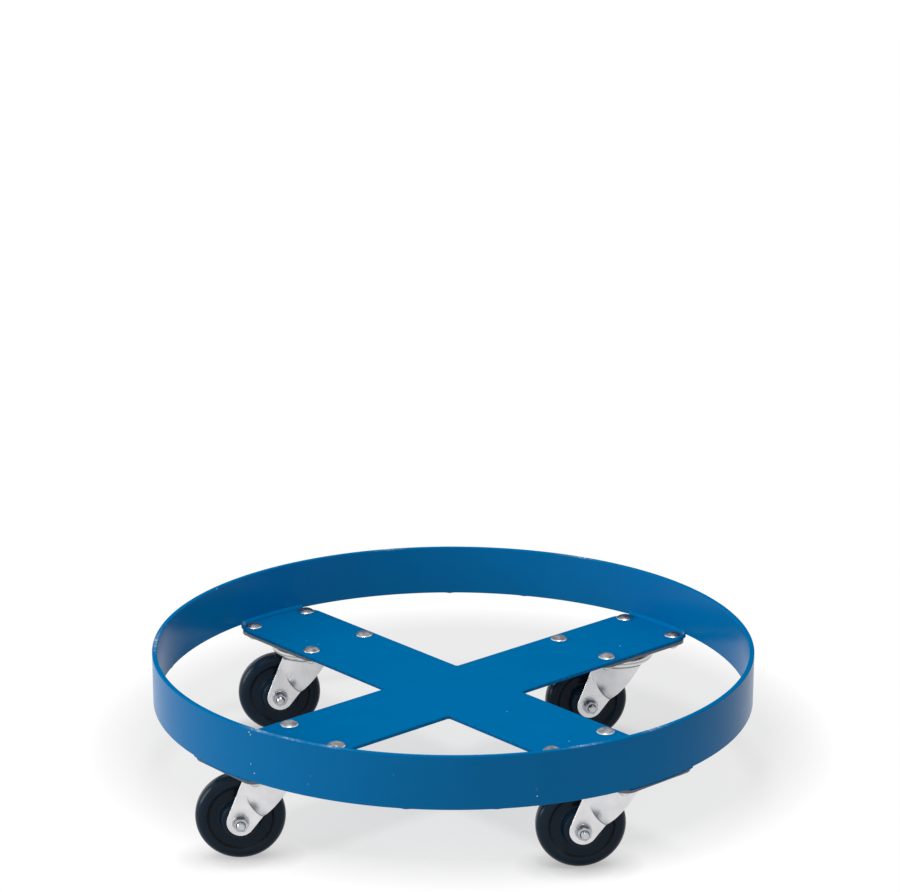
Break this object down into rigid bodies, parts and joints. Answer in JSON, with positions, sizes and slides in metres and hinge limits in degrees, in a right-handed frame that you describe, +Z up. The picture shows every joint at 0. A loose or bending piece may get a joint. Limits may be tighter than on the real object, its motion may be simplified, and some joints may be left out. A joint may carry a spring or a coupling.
{
  "type": "drum trolley",
  "caption": "Low trolley for a drum: an upright steel ring on a flat cross, with swivelling castors riveted under the ends of the arms.",
  "frame": {"origin": "on the floor, under the middle of the ring", "axes": "+Z up along the ring's axis; the arms of the cross lie on the diagonals between X and Y; the side towards -Y is the front"},
  "size_m": [0.62, 0.62, 0.1683],
  "materials": {
    "blue_paint": "gloss enamel",
    "zinc": "bright zinc plate",
    "rivet_zinc": "zinc plate, hammered",
    "fastener_zinc": "bright zinc plate",
    "bearing_steel": "bare, greased",
    "black_wheel": "moulded, semi-matt"
  },
  "bodies": {
    "frame": {"ring": "blue_paint", "cross_plate": "blue_paint", "ring_welds": "blue_paint", "front_left_top_plate": "zinc", "front_left_rivets": "rivet_zinc", "front_left_kingpin": "bearing_steel", "front_left_ball_retainer": "bearing_steel", "front_left_lower_balls": "bearing_steel", "front_right_top_plate": "zinc", "front_right_rivets": "rivet_zinc", "front_right_kingpin": "bearing_steel", "front_right_ball_retainer": "bearing_steel", "front_right_lower_balls": "bearing_steel", "rear_left_top_plate": "zinc", "rear_left_rivets": "rivet_zinc", "rear_left_kingpin": "bearing_steel", "rear_left_ball_retainer": "bearing_steel", "rear_left_lower_balls": "bearing_steel", "rear_right_top_plate": "zinc", "rear_right_rivets": "rivet_zinc", "rear_right_kingpin": "bearing_steel", "rear_right_ball_retainer": "bearing_steel", "rear_right_lower_balls": "bearing_steel"},
    "front_left_swivel": {"front_left_fork": "zinc", "front_left_upper_balls": "bearing_steel", "front_left_axle_bolt": "fastener_zinc", "front_left_axle_nut": "fastener_zinc", "front_left_axle_washer": "fastener_zinc", "front_left_axle_sleeve": "bearing_steel"},
    "front_left_roller": {"front_left_wheel": "black_wheel", "front_left_wheel_bush": "bearing_steel"},
    "front_right_swivel": {"front_right_fork": "zinc", "front_right_upper_balls": "bearing_steel", "front_right_axle_bolt": "fastener_zinc", "front_right_axle_nut": "fastener_zinc", "front_right_axle_washer": "fastener_zinc", "front_right_axle_sleeve": "bearing_steel"},
    "front_right_roller": {"front_right_wheel": "black_wheel", "front_right_wheel_bush": "bearing_steel"},
    "rear_left_swivel": {"rear_left_fork": "zinc", "rear_left_upper_balls": "bearing_steel", "rear_left_axle_bolt": "fastener_zinc", "rear_left_axle_nut": "fastener_zinc", "rear_left_axle_washer": "fastener_zinc", "rear_left_axle_sleeve": "bearing_steel"},
    "rear_left_roller": {"rear_left_wheel": "black_wheel", "rear_left_wheel_bush": "bearing_steel"},
    "rear_right_swivel": {"rear_right_fork": "zinc", "rear_right_upper_balls": "bearing_steel", "rear_right_axle_bolt": "fastener_zinc", "rear_right_axle_nut": "fastener_zinc", "rear_right_axle_washer": "fastener_zinc", "rear_right_axle_sleeve": "bearing_steel"},
    "rear_right_roller": {"rear_right_wheel": "black_wheel", "rear_right_wheel_bush": "bearing_steel"}
  },
  "joints": [
    {"name": "front_left_swivel_turn", "type": "hinge", "parent": "frame", "child": "front_left_swivel", "pos_m": [-0.16857, -0.16857, 0.1], "axis": [0, 0, 1], "continuous": true},
    {"name": "front_left_wheel_spin", "type": "hinge", "parent": "front_left_swivel", "child": "front_left_roller", "pos_m": [-0.20125, -0.17316, 0.045], "axis": [-0.1392, 0.9903, 0], "continuous": true},
    {"name": "front_right_swivel_turn", "type": "hinge", "parent": "frame", "child": "front_right_swivel", "pos_m": [0.16857, -0.16857, 0.1], "axis": [0, 0, 1], "continuous": true},
    {"name": "front_right_wheel_spin", "type": "hinge", "parent": "front_right_swivel", "child": "front_right_roller", "pos_m": [0.13597, -0.17373, 0.045], "axis": [-0.1564, 0.9877, 0], "continuous": true},
    {"name": "rear_left_swivel_turn", "type": "hinge", "parent": "frame", "child": "rear_left_swivel", "pos_m": [-0.16857, 0.16857, 0.1], "axis": [0, 0, 1], "continuous": true},
    {"name": "rear_left_wheel_spin", "type": "hinge", "parent": "rear_left_swivel", "child": "rear_left_roller", "pos_m": [-0.20116, 0.1634, 0.045], "axis": [-0.1564, 0.9877, 0], "continuous": true},
    {"name": "rear_right_swivel_turn", "type": "hinge", "parent": "frame", "child": "rear_right_swivel", "pos_m": [0.16857, 0.16857, 0.1], "axis": [0, 0, 1], "continuous": true},
    {"name": "rear_right_wheel_spin", "type": "hinge", "parent": "rear_right_swivel", "child": "rear_right_roller", "pos_m": [0.13655, 0.16058, 0.045], "axis": [-0.2419, 0.9703, 0], "continuous": true}
  ]
}
